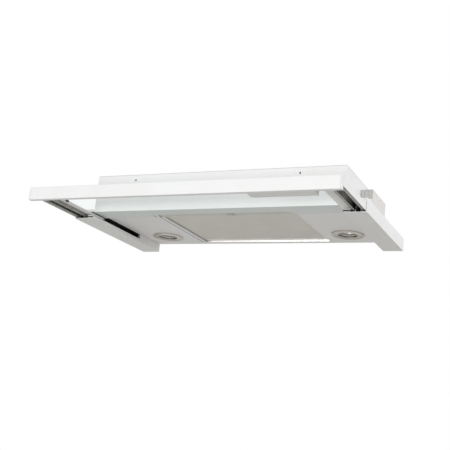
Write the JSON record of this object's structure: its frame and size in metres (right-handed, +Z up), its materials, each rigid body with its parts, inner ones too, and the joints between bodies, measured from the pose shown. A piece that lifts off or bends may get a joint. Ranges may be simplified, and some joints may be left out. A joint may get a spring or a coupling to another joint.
{
  "type": "under cabinet range hood",
  "caption": "Slim pull-out cooker hood for a wall cabinet: white steel casing, glass visor drawer on ball slides, grease filter, lamps, centrifugal blower and round outlet.",
  "frame": {"origin": "on the casing's front face, on its centre line, level with the cabinet's underside and the tops of the rail boxes", "axes": "+X to the right seen from the front, +Y towards the wall, +Z up; the front face looks along -Y"},
  "size_m": [0.598, 0.429, 0.1308],
  "materials": {
    "white_paint": "satin white powder coat",
    "zinc_steel": "galvanised",
    "motor_steel": "satin black",
    "filter_aluminium": "matt expanded metal",
    "lamp_metal": "satin nickel",
    "reflector": "bright faceted",
    "visor_glass": "clear float glass, green edge",
    "lamp_glass": "clear pressed glass",
    "white_plastic": "matt",
    "bar_plastic": "satin, matched to the paint",
    "grey_plastic": "fine texture",
    "dark_plastic": "fine texture",
    "circuit_board": "solder mask"
  },
  "bodies": {
    "hood": {"casing_body": "white_paint", "top_panel": "white_paint", "bottom_panel": "white_paint", "filter_well": "white_paint", "rail_box_left": "white_paint", "rail_box_right": "white_paint", "slot_buffer_left": "grey_plastic", "slot_buffer_right": "grey_plastic", "side_bracket_left": "white_paint", "side_bracket_right": "white_paint", "slide_outer_left": "zinc_steel", "slide_outer_right": "zinc_steel", "rail_screw_front_left": "white_paint", "rail_screw_rear_left": "white_paint", "rail_screw_front_right": "white_paint", "rail_screw_rear_right": "white_paint", "lamp_bezel_left": "lamp_metal", "lamp_bezel_right": "lamp_metal", "lamp_reflector_left": "reflector", "lamp_reflector_right": "reflector", "lamp_lens_left": "lamp_glass", "lamp_lens_right": "lamp_glass", "blower_housing": "zinc_steel", "blower_cover": "zinc_steel", "inlet_ring": "dark_plastic", "motor": "motor_steel", "capacitor": "grey_plastic", "outlet_collar": "dark_plastic", "flap_pin": "zinc_steel", "terminal_box": "white_plastic", "terminal_lid": "white_plastic", "terminal_block": "dark_plastic", "cable_gland": "dark_plastic", "microswitch": "dark_plastic"},
    "drawer": {"front_bar": "white_paint", "bar_cap_left": "bar_plastic", "bar_cap_right": "bar_plastic", "drawer_side_left": "white_paint", "drawer_side_right": "white_paint", "slide_inner_left": "zinc_steel", "slide_inner_right": "zinc_steel", "glass_panel": "visor_glass", "control_housing": "bar_plastic", "control_cover": "bar_plastic", "control_board": "circuit_board", "bar_screw_left": "zinc_steel", "bar_screw_right": "zinc_steel", "flange_buffer": "dark_plastic"},
    "ball_cages": {"ball_cage_left": "dark_plastic", "ball_cage_right": "dark_plastic"},
    "speed_knob": {"speed_slider": "dark_plastic"},
    "light_knob": {"light_slider": "dark_plastic"},
    "filter": {"filter_frame": "filter_aluminium", "filter_mesh": "filter_aluminium"},
    "latch": {"filter_latch": "grey_plastic"},
    "fan": {"impeller": "grey_plastic", "motor_shaft": "zinc_steel"},
    "flap_a": {"flap_front": "dark_plastic"},
    "flap_b": {"flap_rear": "dark_plastic"},
    "plunger": {"switch_plunger": "white_plastic"}
  },
  "joints": [
    {"name": "drawer_slide", "type": "slide", "parent": "hood", "child": "drawer", "axis": [0, 1, 0], "range_m": [0, 0.14]},
    {"name": "cage_slide", "type": "slide", "parent": "hood", "child": "ball_cages", "axis": [0, 1, 0], "range_m": [0, 0.07]},
    {"name": "speed_slide", "type": "slide", "parent": "drawer", "child": "speed_knob", "axis": [1, 0, 0], "range_m": [0, 0.024]},
    {"name": "light_slide", "type": "slide", "parent": "drawer", "child": "light_knob", "axis": [1, 0, 0], "range_m": [0, 0.01]},
    {"name": "filter_hinge", "type": "hinge", "parent": "hood", "child": "filter", "pos_m": [0.009, 0.2579, -0.0015], "axis": [1, 0, 0], "range_deg": [0, 60]},
    {"name": "latch_slide", "type": "slide", "parent": "filter", "child": "latch", "axis": [0, 1, 0], "range_m": [0, 0.006], "stiffness_N_per_m": 150},
    {"name": "fan_spin", "type": "hinge", "parent": "hood", "child": "fan", "pos_m": [-0.075, 0.128, 0.04], "axis": [0, 0, 1], "continuous": true},
    {"name": "flap_front_hinge", "type": "hinge", "parent": "hood", "child": "flap_a", "pos_m": [0.075, 0.19, 0.0745], "axis": [-1, 0, 0], "range_deg": [0, 80]},
    {"name": "flap_rear_hinge", "type": "hinge", "parent": "hood", "child": "flap_b", "pos_m": [0.075, 0.19, 0.0745], "axis": [1, 0, 0], "range_deg": [0, 80]},
    {"name": "plunger_slide", "type": "slide", "parent": "hood", "child": "plunger", "axis": [0, 1, 0], "range_m": [0, 0.003], "stiffness_N_per_m": 200}
  ],
  "couplings": [
    {"joint": "cage_slide", "follows": "drawer_slide", "ratio": 0.5}
  ]
}
